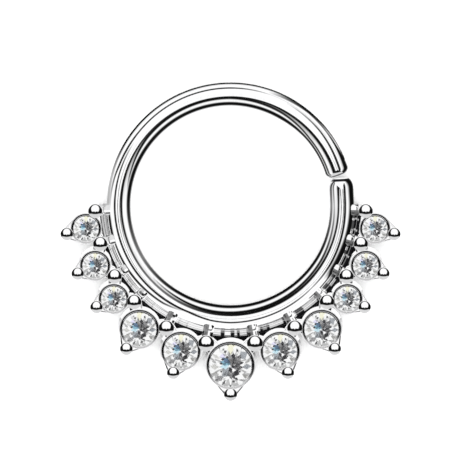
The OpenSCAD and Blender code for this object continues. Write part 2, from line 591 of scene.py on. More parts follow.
@dataclass(frozen=True)
class GalleryShade:
    """How much painted shade each place of the gallery gets, from 0 to 1.

    Angles are in degrees from the bottom of the hoop. Beside its windows, the strip between the
    rails has one painted shade on the left half and one on the right. Windows left of
    left_frames_deg get less painted shade than the others. Beyond outer_r the strip is painted
    dark, but for its centre and its grey left end.
    """

    outer_r: float = 6.46
    centre_deg: float = 10.0
    grey_end_deg: float = -76.0
    soft_deg: float = 0.3
    side_soft_deg: float = 6.0
    # Amounts of painted shade beside and in the windows, from 0 to 1
    left_painted_shade: float = 0.26
    right_painted_shade: float = 0.40
    left_frame_painted_shade: float = 0.55
    left_frames_deg: float = -12.0
    # Painted shade on the rail beside the wire, with painted lights where it has little
    rail_dark_deg: float = 20.0
    rail_left_share: float = 0.5
    rail_right_share: float = 0.9
    rail_lights_painted_shade: float = 0.1
    rail_lights: tuple[Point, ...] = ((60.8, 67.6), (69.3, 70.9), (77.4, 78.6), (83.7, 84.7))
    windows: tuple[Window, ...] = (
        Window(-88.0, -76.0, 0.0, 0.30),
        Window(-70.5, -63.5, 0.5, 0.85),
        Window(-54.5, -50.5, 0.9, 0.35),
        Window(-42.5, -37.5, 0.6, 0.50),
        Window(-24.5, -19.5, 0.8, 0.50),
        Window(-4.6, 1.9, 1.8, 0.95),
        Window(2.7, 4.3, 0.8, 0.0),
        Window(7.1, 9.3, 1.1, 0.0),
        Window(13.2, 18.0, 1.3, 0.30),
        Window(24.2, 27.2, 1.5, 0.0),
        Window(31.0, 35.4, 2.2, 0.0),
        Window(42.4, 45.2, 1.4, 0.0),
        Window(48.3, 58.3, 3.0, 0.50),
        Window(60.6, 66.5, 3.0, 0.0),
        Window(67.0, 71.8, 2.4, 0.0),
        Window(75.9, 78.8, 1.4, 0.0),
        Window(79.4, 83.8, 2.2, 0.0),
        Window(84.3, 87.2, 1.4, 0.0),
    )

    def at(self, angle: float, lit: float = 1.0) -> float:
        """The painted shade of the strip at an angle.

        Args:
            angle: The angle.
            lit: 1 if the windows' middles get their painted light, 0 if they don't.

        Returns:
            The painted shade.
        """
        side = (math.tanh(angle / self.side_soft_deg) + 1) / 2
        value = self.left_painted_shade + (self.right_painted_shade - self.left_painted_shade) * side
        full = self.left_frame_painted_shade if angle < self.left_frames_deg else 1.0
        for w in self.windows:
            depth = min(angle - w.start, w.end - angle)
            inside = clamped(depth / self.soft_deg)
            middle = clamped((depth - w.frame) / self.soft_deg)
            value += (full * (1.0 - lit * w.glow * middle) - value) * inside
        return value

    def strip(self, point: Point3) -> float:
        """The painted shade of the back rail.

        Args:
            point: A place on it.

        Returns:
            The strip's painted shade on its inner part, and darker painted shade beyond outer_r.
        """
        angle = angle_of(point)
        if angle < self.grey_end_deg or math.hypot(point[0], point[1]) <= self.outer_r:
            return self.at(angle)
        return 1.0 if abs(angle) > self.centre_deg else max(2 * self.at(angle) - 1, 0.0)

    def rail(self, point: Point3) -> float:
        """The painted shade of the rail beside the wire.

        Args:
            point: A place on it.

        Returns:
            A share of the strip's painted shade, larger on the right, and little in the rail's painted
            lights.
        """
        angle = angle_of(point)
        if any(start < angle < end for start, end in self.rail_lights):
            return self.rail_lights_painted_shade
        share = self.rail_left_share if angle < self.rail_dark_deg else self.rail_right_share
        return self.at(angle) * share

    def floor(self, point: Point3) -> float:
        """The painted shade of the plate.

        Args:
            point: A place on it.

        Returns:
            The strip's painted shade on its inner part and at its left end, and 1 beyond outer_r.
        """
        angle = angle_of(point)
        if angle < self.grey_end_deg:
            return self.at(angle)
        return 1.0 if math.hypot(point[0], point[1]) > self.outer_r else self.at(angle, lit=0.0)


@dataclass
class Gallery:
    """The rails, plate and bars between the wire and the beads.

    Each web's end is buried in a cup's wall, web_hidden deep. Each bar's half towards -X gets
    painted shade, less on bars left of left_bars_deg.
    """

    sizes: FanSizes
    rail: RingSection = RingSection(5.95, 6.28, 0.30, 0.86)
    back_rail: RingSection = RingSection(6.38, 6.56, 0.10, 0.80)
    plate: RingSection = RingSection(6.15, 6.92, 0.05, 0.30, 0.02)
    shade: GalleryShade = GalleryShade()
    shade_step: float = 0.005
    rail_half_deg: float = 91.0
    bar_section: BarSection = BarSection(width=0.54, low=0.16, high=1.02, rounding=0.14)
    bar_in_r: float = 5.9
    bar_flank_shade: float = 0.72
    left_bar_flank_shade: float = 0.25
    left_bars_deg: float = -40.0
    web_low_z: float = 0.10
    web_high_z: float = 0.94
    web_share: float = 2.0
    web_round: float = 0.06
    web_hidden: float = 0.045
    steps: int = 700

    def sector(self, ring: RingSection, half_deg: float) -> Part:
        """Runs a section round the hoop's axis, centred on the bottom of the hoop.

        A section that reaches past the shade's outer_r gets an edge on each side of it.

        Args:
            ring: The section.
            half_deg: How far it runs to each side.

        Returns:
            The vertices and faces.
        """
        r = ring.rounding
        corners = [(ring.inner, ring.low, r), (ring.outer, ring.low, r), (ring.outer, ring.high, r)]
        for step in (self.shade_step, -self.shade_step):
            edge = self.shade.outer_r + step
            if ring.inner + r < edge < ring.outer - r:
                corners.append((edge, ring.high, 0.0))
        section = rounded([*corners, (ring.inner, ring.high, r)], EDGE_STEPS)
        stations = []
        for k in range(self.steps + 1):
            x, y = from_bottom(-half_deg + 2 * half_deg * k / self.steps, 1.0)
            stations.append((Vector((0, 0, 0)), Vector((x, y, 0)), UP))
        return sweep(section, stations)

    def add_bars(self, bars: Skin, webs: Skin) -> None:
        """Adds the bar behind each bead and the webs that join its post to its cups.

        Args:
            bars: What the bars are added to.
            webs: What the webs are added to.
        """
        for i, bead in enumerate(self.sizes.beads):
            web_w = self.web_share * bead.radius * self.sizes.post_share
            web = BarSection(web_w, self.web_low_z, self.web_high_z, self.web_round)
            for side in Side:
                angle = side.value * bead.angle
                at = from_bottom(angle, bead.distance)
                # Painted shade on the bar's half towards -X, less on the left bars
                flank_shade = self.left_bar_flank_shade if angle < self.left_bars_deg else self.bar_flank_shade
                bar(bars, from_bottom(angle, self.bar_in_r), at, self.bar_section, flank_shade)
                for cup in self.sizes.cups[i : i + 2]:
                    to = Vector(from_bottom(side.value * cup.angle, cup.distance))
                    wall = to + (Vector(at) - to).normalized() * (cup.outer_r - self.web_hidden)
                    bar(webs, at, tuple(wall), web)

    def build(self, steel: bpy.types.Material) -> list[bpy.types.Object]:
        """Builds the rails, plate, bars and webs.

        Args:
            steel: The fan's material.

        Returns:
            The pieces.
        """
        fan_deg = self.sizes.beads[-1].angle
        rails, plate, bars, webs = Skin(), Skin(), Skin(), Skin()
        # The rails and plate carry painted shade and painted dark windows
        rails.add(*self.sector(self.rail, self.rail_half_deg), self.shade.rail)
        rails.add(*self.sector(self.back_rail, fan_deg), self.shade.strip)
        plate.add(*self.sector(self.plate, fan_deg), self.shade.floor)
        self.add_bars(bars, webs)
        named = {"gallery_rails": rails, "gallery_plate": plate, "gallery_bars": bars, "bead_webs": webs}
        return [skin.metal(name, steel) for name, skin in named.items()]


@dataclass
class BeadTurning:
    """Shape of a round bead on its post."""

    sizes: FanSizes
    segments: int = 48
    rings: int = 22

    def add(self, skin: Skin, centre: Point, radius: float, height: float) -> None:
        """Adds one bead and its post.

        Args:
            skin: What the bead is added to.
            centre: The bead's x and y.
            radius: The bead's radius.
            height: The height of its centre.
        """
        post = radius * self.sizes.post_share
        start = -math.acos(self.sizes.post_share)
        outline: list[Point] = [(0.0, self.sizes.post_foot_z), (post, self.sizes.post_foot_z)]
        for k in range(self.rings + 1):
            a = start + (math.pi / 2 - start) * k / self.rings
            outline.append((radius * math.cos(a), height + radius * math.sin(a)))
        outline[-1] = (0.0, height + radius)
        skin.add(*lathe(outline, centre, self.segments, closed=False))


@dataclass
class Setting:
    """One cup with its claw, outer bead and stone.

    The cup's lip and inner wall get painted shade, less of it towards the camera, where a
    painted highlight stands for the light that the lip catches. The claw's inner edge fans out
    less than its outer one, by claw_inner_share.
    """

    sizes: FanSizes
    cup: CupRow
    side: Side
    name: str
    segments: int = 96
    rim_round: float = 0.036
    lip: float = 0.085
    lip_drop: float = 0.07
    lip_round: float = 0.012
    lip_foot_round: float = 0.01
    near_lip_light: float = 0.55
    near_share: float = 0.8
    seat_step: float = 0.004
    edge_slack: float = 0.003
    foot_flare: float = 0.1
    foot_round: float = 0.03
    flare_low_z: float = 0.05
    flare_high_z: float = 0.5
    flare_round: float = 0.1
    claw_low_z: float = 0.10
    claw_round: float = 0.06
    claw_cup_share: float = 0.99
    claw_post_share: float = 0.98
    claw_hidden: float = 0.05
    claw_inner_share: float = 0.6
    claw_side_steps: int = 8
    claw_tip_steps: int = 24

    @property
    def centre(self) -> Point:
        """The cup's x and y."""
        return from_bottom(self.side.value * self.cup.angle, self.cup.distance)

    def add_cup(self, skin: Skin) -> None:
        """Adds the cup: an open-backed ring with a flared foot, a round rim and a seat.

        Args:
            skin: What the cup is added to.
        """
        s, c = self.sizes, self.cup
        inner = c.stone_r + s.stone_gap
        hole = c.stone_r * s.back_hole_share
        seat = s.girdle_z(c) - c.stone_r * s.girdle_share - s.stone_gap
        funnel_z = seat - s.pavilion_share * (inner - hole)
        flare = c.outer_r + self.foot_flare
        outline = rounded(
            [
                (flare, 0.0, self.foot_round),
                (flare, self.flare_low_z, self.foot_round),
                (c.outer_r, self.flare_high_z, self.flare_round),
                (c.outer_r, c.rim_z, self.rim_round),
                (inner + self.lip, c.rim_z, self.lip_round),
                (inner, c.rim_z - self.lip_drop, self.lip_foot_round),
                (inner, seat, 0.0),
                (inner - self.seat_step, seat - self.seat_step, 0.0),
                (hole, funnel_z, self.foot_round),
                (hole, 0.0, self.foot_round),
            ]
        )
        # Painted shade on the lip and the inner wall, down to just under the seat
        dark_r = inner + self.lip + self.edge_slack
        dark_z = seat - self.edge_slack
        cx, cy = self.centre

        def inside(point: Point3) -> float:
            """How much painted shade a place of the cup gets.

            Args:
                point: The place.

            Returns:
                1 on the lip and the inner wall, less towards the camera, and 0 elsewhere.
            """
            away = math.hypot(point[0] - cx, point[1] - cy)
            if away > dark_r or point[2] < dark_z:
                return 0.0
            # Less painted shade towards the camera: a painted highlight on the lip
            nearness = (cy - point[1]) / away
            return 1.0 - self.near_lip_light * clamped(nearness / self.near_share)

        skin.add(*lathe(outline, self.centre, self.segments, closed=True), inside)

    def add_claw(self, skin: Skin) -> None:
        """Adds the claw that narrows from the cup to its outer bead along the common tangents.

        Args:
            skin: What the claw is added to.
        """
        c, s = self.cup, self.sizes
        cup_r = c.outer_r * self.claw_cup_share
        post_r = c.bead_r * s.post_share * self.claw_post_share
        spread = math.acos((cup_r - post_r) / c.claw_reach)
        aim = math.radians(self.side.value * c.claw_angle)
        a = Vector(self.centre)
        b = a + Vector((math.sin(aim), -math.cos(aim))) * c.claw_reach
        hidden = c.outer_r - self.claw_hidden

        def ray(turn: float) -> Vector:
            """Unit direction at an angle from the claw's own."""
            return Vector((math.sin(aim + turn), -math.cos(aim + turn)))

        sides, tip = self.claw_side_steps, self.claw_tip_steps
        path = [(1.0, k / sides) for k in range(sides + 1)]
        path += [(1 - 2 * k / tip, 1.0) for k in range(1, tip)]
        path += [(-1.0, 1 - k / sides) for k in range(sides + 1)]
        low, high, r = self.claw_low_z, s.claw_top_z, self.claw_round
        points: list[Point3] = []
        for turn, along in path:
            n = ray(spread * turn)
            outer = a.lerp(b, along) + n * (cup_r + (post_r - cup_r) * along)
            fan = spread * turn * (1 - (1 - self.claw_inner_share) * along)
            inner = a + ray(fan) * hidden
            points.append((inner.x, inner.y, low))
            points.append((outer.x, outer.y, low))
            for k in range(EDGE_STEPS + 1):
                t = math.pi / 2 * k / EDGE_STEPS
                at = outer - n * (r * (1 - math.cos(t)))
                points.append((at.x, at.y, high - r + r * math.sin(t)))
            points.append((inner.x, inner.y, high))
        skin.add(points, tube_faces(len(path), len(points) // len(path)))

    def build(self, steel: bpy.types.Material, stone: bpy.types.Material) -> list[bpy.types.Object]:
        """Builds the cup with its claw and outer bead, and its stone.

        Args:
            steel: The fan's material.
            stone: The stones' material.

        Returns:
            The setting and the stone.
        """
        skin = Skin()
        self.add_cup(skin)
        self.add_claw(skin)
        x, y = self.centre
        dx, dy = from_bottom(self.side.value * self.cup.claw_angle, self.cup.claw_reach)
        bead = BeadTurning(self.sizes)
        bead.add(skin, (x + dx, y + dy), self.cup.bead_r, self.sizes.outer_bead_z)
        setting = skin.metal(f"cup_{self.name}", steel)
        cut = Brilliant(self.sizes, self.cup.stone_r, (x, y, self.sizes.girdle_z(self.cup)))
        return [setting, cut.build(f"cut_stone_{self.name}", stone, f"stone_{self.name}")]


@dataclass
class SharedBeads:
    """The beads between the cups and at the fan's ends, turned finer than the outer ones."""

    sizes: FanSizes
    segments: int = 56
    rings: int = 26

    def build(self, steel: bpy.types.Material) -> list[bpy.types.Object]:
        """Builds the beads of each side as one piece.

        Args:
            steel: The fan's material.

        Returns:
            The two pieces.
        """
        made = []
        turning = BeadTurning(self.sizes, self.segments, self.rings)
        for side in Side:
            skin = Skin()
            for bead in self.sizes.beads:
                at = from_bottom(side.value * bead.angle, bead.distance)
                turning.add(skin, at, bead.radius, self.sizes.shared_bead_z)
            made.append(skin.metal(f"beads_{side.name.lower()}", steel))
        return made


# The stones


@dataclass
class Brilliant:
    """A round brilliant, cut facet by facet from a round blank.

    Its table, crown, stars and lower corners are in shares of its radius, and mains is how many
    main facets its crown has.
    """

    sizes: FanSizes
    radius: float
    place: Point3
    table_share: float = 0.56
    crown_share: float = 0.32
    star_share: float = 0.80
    lower_share: float = 0.22
    mains: int = 8
    segments: int = 64
    cut_slack: float = 1e-6

    def ring(self, share: float, count: int, first: float, z: float) -> list[Vector]:
        """Lays points evenly round the stone.

        Args:
            share: Their distance from its axis, as a share of its radius.
            count: How many.
            first: The first one's angle, in degrees.
            z: Their height.

        Returns:
            The points.
        """
        out = []
        for k in range(count):
            a = math.radians(first + 360 * k / count)
            out.append(Vector((share * self.radius * math.cos(a), share * self.radius * math.sin(a), z)))
        return out

    def planes(self) -> list[tuple[Vector, Vector]]:
        """Lays out every facet but the girdle: the table, then one sector's facets at a time.

        Returns:
            A point and an outward normal for each.
        """
        r = self.radius
        crown = self.crown_share * r
        girdle, depth = self.sizes.girdle_share * r, self.sizes.pavilion_share * r
        n, half_step = self.mains, 180.0 / self.mains
        inset = math.cos(math.radians(half_step))
        star_z = crown * (1 - self.star_share * inset) / (1 - self.table_share)
        lower_z = -girdle - depth * (1 - self.lower_share * inset)
        table = self.ring(self.table_share, n, 0, crown)
        star = self.ring(self.star_share, n, half_step, star_z)
        upper = self.ring(1.0, 2 * n, 0, 0)
        under = self.ring(1.0, 2 * n, 0, -girdle)
        lower = self.ring(self.lower_share, n, half_step, lower_z)
        culet = Vector((0, 0, -girdle - depth))
        corners = [(table[0], table[2], table[4])]
        for k in range(n):
            first, second, third = 2 * k, 2 * k + 1, (2 * k + 2) % (2 * n)
            corners.append((table[k], table[(k + 1) % n], star[k]))
            corners.append((table[k], star[k], upper[first]))
            corners.append((star[k], upper[first], upper[second]))
            corners.append((star[k], upper[second], upper[third]))
            corners.append((culet, lower[k], under[first]))
            corners.append((lower[k], under[first], under[second]))
            corners.append((lower[k], under[second], under[third]))
        middle = Vector((0, 0, -girdle))
        out = []
        for a, b, c in corners:
            normal = (b - a).cross(c - a).normalized()
            out.append((a, normal if normal.dot(a - middle) > 0 else -normal))
        return out

    def build(self, name: str, stone: bpy.types.Material, node: str) -> bpy.types.Object:
        """Cuts the stone.

        Args:
            name: The stone's name.
            stone: Its material.
            node: The solid that it stands for.

        Returns:
            The stone, with flat facets.
        """
        r = self.radius
        bm = bmesh.new()
        bmesh.ops.create_cone(
            bm,
            cap_ends=True,
            segments=self.segments,
            radius1=r,
            radius2=r,
            depth=4 * r,
            matrix=Matrix.Rotation(math.pi / 2, 4, "Z"),
        )
        for at, normal in self.planes():
            cut = bmesh.ops.bisect_plane(
                bm,
                geom=bm.verts[:] + bm.edges[:] + bm.faces[:],
                dist=self.cut_slack,
                plane_co=at,
                plane_no=normal,
                clear_outer=True,
            )
            edges = [e for e in cut["geom_cut"] if isinstance(e, bmesh.types.BMEdge) and e.is_boundary]
            if len(edges) > 2:
                bmesh.ops.contextual_create(bm, geom=edges)
        bmesh.ops.recalc_face_normals(bm, faces=bm.faces[:])
        bm.transform(Matrix.Scale(MM, 4) @ Matrix.Translation(Vector(self.place)))
        mesh = bpy.data.meshes.new(name)
        bm.to_mesh(mesh)
        bm.free()
        plan = mesh.attributes.new(PLAN, "FLOAT_VECTOR", "POINT")
        for value, vertex in zip(plan.data, mesh.vertices):
            x, y = (vertex.co[k] / MM - self.place[k] for k in range(2))
            value.vector = (x / r, y / r, 1.0)
        return dress(new_object(name, mesh), stone, RecordSlot.STONE, node)


# Finishes


class Nodes:
    """Short way to lay out one shader tree."""

    def __init__(self, tree: bpy.types.NodeTree) -> None:
        """Keeps the tree."""
        self.tree = tree

    def add(
        self, kind: str, settings: dict[str, object] | None = None, **inputs: object
    ) -> bpy.types.Node:
        """Adds a node.

        Args:
            kind: The node's type.
            settings: Values for the node's own properties.
            **inputs: Values or output sockets for its inputs, by name with _ for a space.

        Returns:
            The node.
        """
        node = self.tree.nodes.new(kind)
        for key, value in (settings or {}).items():
            setattr(node, key, value)
        for key, value in inputs.items():
            self.put(node.inputs[key.replace("_", " ")], value)
        return node

    def put(self, socket: bpy.types.NodeSocket, value: object) -> None:
        """Links an output to an input, or sets the input's own value.

        Args:
            socket: The input.
            value: An output socket or a plain value.
        """
        if isinstance(value, bpy.types.NodeSocket):
            self.tree.links.new(value, socket)
        else:
            socket.default_value = value

    def group(self, tree: bpy.types.ShaderNodeTree, **inputs: object) -> bpy.types.Node:
        """Places a node group with its own values or links, named as in add."""
        return self.add("ShaderNodeGroup", {"node_tree": tree}, **inputs)

    def output(self, shader: bpy.types.Node, kind: str = "ShaderNodeOutputMaterial") -> None:
        """Sends a shader to the tree's output."""
        self.add(kind, Surface=shader.outputs[0])

    def math(
        self, operation: str, a: object, b: object = 0.0, clamp: bool = False
    ) -> bpy.types.NodeSocket:
        """Adds a Math node.

        Args:
            operation: What it does.
            a: Its first value or link.
            b: Its second value or link.
            clamp: True to keep the result between 0 and 1.

        Returns:
            The result.
        """
        node = self.add("ShaderNodeMath", {"operation": operation, "use_clamp": clamp})
        self.put(node.inputs[0], a)
        self.put(node.inputs[1], b)
        return node.outputs[0]

    def vector(self, operation: str, *values: object) -> bpy.types.NodeSocket:
        """Adds a Vector Math node.

        Args:
            operation: What it does.
            *values: Its vectors or links, in the order of its inputs.

        Returns:
            The result, a number for a dot product and a vector otherwise.
        """
        node = self.add("ShaderNodeVectorMath", {"operation": operation})
        for socket, value in zip(node.inputs, values):
            self.put(socket, value)
        return node.outputs["Value" if operation == "DOT_PRODUCT" else "Vector"]

    def split(self, vector: bpy.types.NodeSocket) -> list[bpy.types.NodeSocket]:
        """Splits a vector into its x, y and z."""
        return list(self.add("ShaderNodeSeparateXYZ", Vector=vector).outputs)

    def grey(self, value: bpy.types.NodeSocket) -> bpy.types.NodeSocket:
        """Makes a grey of a number."""
        return self.add("ShaderNodeCombineColor", Red=value, Green=value, Blue=value).outputs[0]

    def mix(self, factor: object, a: object, b: object) -> bpy.types.NodeSocket:
        """Mixes two colours.

        Args:
            factor: How much of the second one is taken.
            a: The first colour or link.
            b: The second colour or link.

        Returns:
            The mixed colour.
        """
        node = self.add("ShaderNodeMix", {"data_type": "RGBA"}, Factor=factor)
        slots = [s for s in node.inputs if s.type == "RGBA"]
        for slot, value in zip(slots, (a, b)):
            self.put(slot, (*value, 1.0) if isinstance(value, tuple) else value)
        return next(s for s in node.outputs if s.type == "RGBA")

    def ramp(self, factor: object, stops: Sequence[tuple[float, Colour]]) -> bpy.types.NodeSocket:
        """Adds a colour ramp and returns its colour.

        Args:
            factor: What drives the ramp.
            stops: Each stop's place and colour.

        Returns:
            The colour output.
        """
        node = self.tree.nodes.new("ShaderNodeValToRGB")
        node.color_ramp.interpolation = "EASE"
        self.put(node.inputs[0], factor)
        marks = node.color_ramp.elements
        while len(marks) < len(stops):
            marks.new(0.5)
        for mark, (place, colour) in zip(marks, stops):
            mark.position = place
            mark.color = (*colour, 1.0)
        return node.outputs[0]


def empty_tree(owner: bpy.types.Material | bpy.types.World) -> Nodes:
    """Turns a material's or world's nodes on and clears them.

    Args:
        owner: The material or world.

    Returns:
        Its node maker.
    """
    owner.use_nodes = True
    owner.node_tree.nodes.clear()
    return Nodes(owner.node_tree)


class SocketKind(Enum):
    """Kinds of a node group's inputs and outputs."""

    NUMBER = "NodeSocketFloat"
    VECTOR = "NodeSocketVector"
    COLOUR = "NodeSocketColor"


def new_group(
    name: str, inputs: dict[str, SocketKind], outputs: dict[str, SocketKind]
) -> bpy.types.ShaderNodeTree:
    """Starts a node group.

    Args:
        name: The group's name.
        inputs: The kind of each input, by name.
        outputs: The kind of each output, by name.

    Returns:
        The group, with its inputs and outputs only.
    """
    group = bpy.data.node_groups.new(name, "ShaderNodeTree")
    for way, sockets in (("INPUT", inputs), ("OUTPUT", outputs)):
        for key, kind in sockets.items():
            group.interface.new_socket(name=key, in_out=way, socket_type=kind.value)
    return group


class Mask:
    """Smooth steps and shapes laid out as Math nodes."""

    def __init__(self, nodes: Nodes) -> None:
        """Keeps the tree's node maker."""
        self.n = nodes

    def above(self, value: object, edge: object, soft: float) -> bpy.types.NodeSocket:
        """1 where the value is over the edge, 0 below it, with a soft step between."""
        low = self.n.math("SUBTRACT", value, edge)
        return self.n.math("ADD", self.n.math("DIVIDE", low, soft), 0.5, clamp=True)

    def outside(self, mask: object) -> bpy.types.NodeSocket:
        """1 where the mask isn't."""
        return self.n.math("SUBTRACT", 1.0, mask)

    def both(self, a: object, b: object) -> bpy.types.NodeSocket:
        """1 where both masks are."""
        return self.n.math("MULTIPLY", a, b)

    def either(self, a: object, b: object) -> bpy.types.NodeSocket:
        """1 where one of two masks is."""
        return self.n.math("MAXIMUM", a, b)

    def less(self, a: object, b: object) -> bpy.types.NodeSocket:
        """The first mask with the second taken out of it."""
        return self.both(a, self.outside(b))

    def disc(
        self, at: Sequence[object], centre: Point, reach: Sequence[object], soft: float
    ) -> bpy.types.NodeSocket:
        """Lays out an ellipse.

        Args:
            at: The place's two coordinates.
            centre: The ellipse's middle.
            reach: Its half width and half height.
            soft: How soft its edge is, as a share of its reach.

        Returns:
            1 inside it and 0 outside it.
        """
        squares = []
        for value, middle, half in zip(at, centre, reach):
            far = self.n.math("DIVIDE", self.n.math("SUBTRACT", value, middle), half)
            squares.append(self.n.math("MULTIPLY", far, far))
        far = self.n.math("SQRT", self.n.math("ADD", *squares))
        return self.outside(self.above(far, 1.0, soft))


@dataclass(frozen=True)
class FinePolish:
    """Polishing marks that the metal and the stones share: hairlines and faint haze."""

    hair_scale: float = 9.0
    hair_detail: float = 3.0
    hair_breakup: float = 0.6
    haze_scale: float = 900.0
    haze_detail: float = 4.0
    haze_breakup: float = 0.55
    haze_from: float = 0.35

    def make(self) -> bpy.types.ShaderNodeTree:
        """Makes the marks' group.

        Returns:
            The group, with a Roughness and a Height output.
        """
        number = SocketKind.NUMBER
        group = new_group(
            "fine_polish",
            {"Scale": number, "Stretch": number, "Base Roughness": number, "Haze": number},
            {"Roughness": number, "Height": number},
        )
        n = Nodes(group)
        inside = n.add("NodeGroupInput").outputs
        place = n.add("ShaderNodeTexCoord").outputs["Object"]
        size = n.math("MULTIPLY", inside["Scale"], MM_PER_M)
        along = n.math("DIVIDE", size, inside["Stretch"])
        spread = n.add("ShaderNodeCombineXYZ", X=size, Y=along, Z=size)
        hair = n.add(
            "ShaderNodeTexNoise",
            Vector=n.vector("MULTIPLY", place, spread.outputs[0]),
            Scale=self.hair_scale,
            Detail=self.hair_detail,
            Roughness=self.hair_breakup,
        )
        cloud = n.add(
            "ShaderNodeTexNoise",
            Vector=place,
            Scale=n.math("MULTIPLY", inside["Scale"], self.haze_scale),
            Detail=self.haze_detail,
            Roughness=self.haze_breakup,
        )
        thick = n.math("SUBTRACT", cloud.outputs[0], self.haze_from, clamp=True)
        haze = n.math("MULTIPLY", thick, inside["Haze"])
        rough = n.math("ADD", inside["Base Roughness"], haze)
        n.add("NodeGroupOutput", Roughness=rough, Height=hair.outputs[0])
        return group


@dataclass(frozen=True)
class SteelFinish:
    """Mirror-polished surgical steel, with painted shade where its recess value is 1."""

    name: str
    colour: Colour = (0.95, 0.95, 0.955)
    colour_from: float = 0.6
    dull_colour: Colour = (0.89, 0.892, 0.90)
    dull_to: float = 0.3
    roughness: float = 0.025
    haze: float = 0.03
    grain_scale: float = 1.0
    stretch: float = 8.0
    grain_depth: float = 0.004
    grain_strength: float = 0.25
    # Colour and extra roughness where shade is painted
    painted_shade_colour: Colour = (0.012, 0.012, 0.014)
    painted_shade_roughness: float = 0.3

    def make(self, polish: bpy.types.ShaderNodeTree) -> bpy.types.Material:
        """Makes the material.

        Args:
            polish: The shared group of polishing marks.

        Returns:
            The material.
        """
        made = bpy.data.materials.new(self.name)
        n = empty_tree(made)
        marks = n.group(
            polish,
            Scale=self.grain_scale,
            Stretch=self.stretch,
            Base_Roughness=self.roughness,
            Haze=self.haze,
        ).outputs
        # Painted shade: the colour goes to the dark colour where the mesh's value is 1
        painted_dark = n.add("ShaderNodeAttribute", {"attribute_name": PAINTED_SHADE}).outputs["Fac"]
        stops = [(self.dull_to, self.dull_colour), (self.colour_from, self.colour)]
        painted_dark_roughness = n.math("MULTIPLY", painted_dark, self.painted_shade_roughness)
        bump = n.add(
            "ShaderNodeBump",
            Strength=self.grain_strength,
            Distance=self.grain_depth * MM,
            Height=marks["Height"],
        )
        shader = n.add(
            "ShaderNodeBsdfPrincipled",
            Base_Color=n.mix(painted_dark, n.ramp(marks["Height"], stops), self.painted_shade_colour),
            Metallic=1.0,
            Roughness=n.math("ADD", marks["Roughness"], painted_dark_roughness),
            Normal=bump.outputs[0],
        )
        n.output(shader)
        return made


class Glint(Enum):
    """Painted colours that stand in for the light a facet sends back."""

    BLACK = (0.03, 0.03, 0.035)
    COAL = (0.06, 0.06, 0.065)
    DARK = (0.15, 0.15, 0.155)
    GREY = (0.29, 0.29, 0.295)
    MIST = (0.34, 0.36, 0.385)
    PALE = (0.62, 0.62, 0.60)
    STRAW = (0.87, 0.86, 0.68)
    LILAC = (0.76, 0.74, 0.92)
    DUSK = (0.11, 0.18, 0.28)
    SKY = (0.22, 0.42, 0.54)
    FROST = (0.56, 0.76, 0.84)
    CLEAR = (0.93, 0.935, 0.935)
    WHITE = (1.0, 1.0, 1.0)


@dataclass(frozen=True)
class Shard:
    """A four-sided patch of one painted glint or shade, placed on the stone's plan in shares of its
    radius.
    """

    x: float
    y: float
    length: float
    width: float
    turn: float
    glint: Glint

    def axes(self) -> tuple[Point3, Point3]:
        """Works out how a place's distances along and across the patch are found.

        Returns:
            The factors of the plan's x, y and 1 for each distance, which is 1 at a corner.
        """
        c, d = math.cos(math.radians(self.turn)), math.sin(math.radians(self.turn))
        along = (c / self.length, d / self.length, -(c * self.x + d * self.y) / self.length)
        across = (-d / self.width, c / self.width, (d * self.x - c * self.y) / self.width)
        return along, across


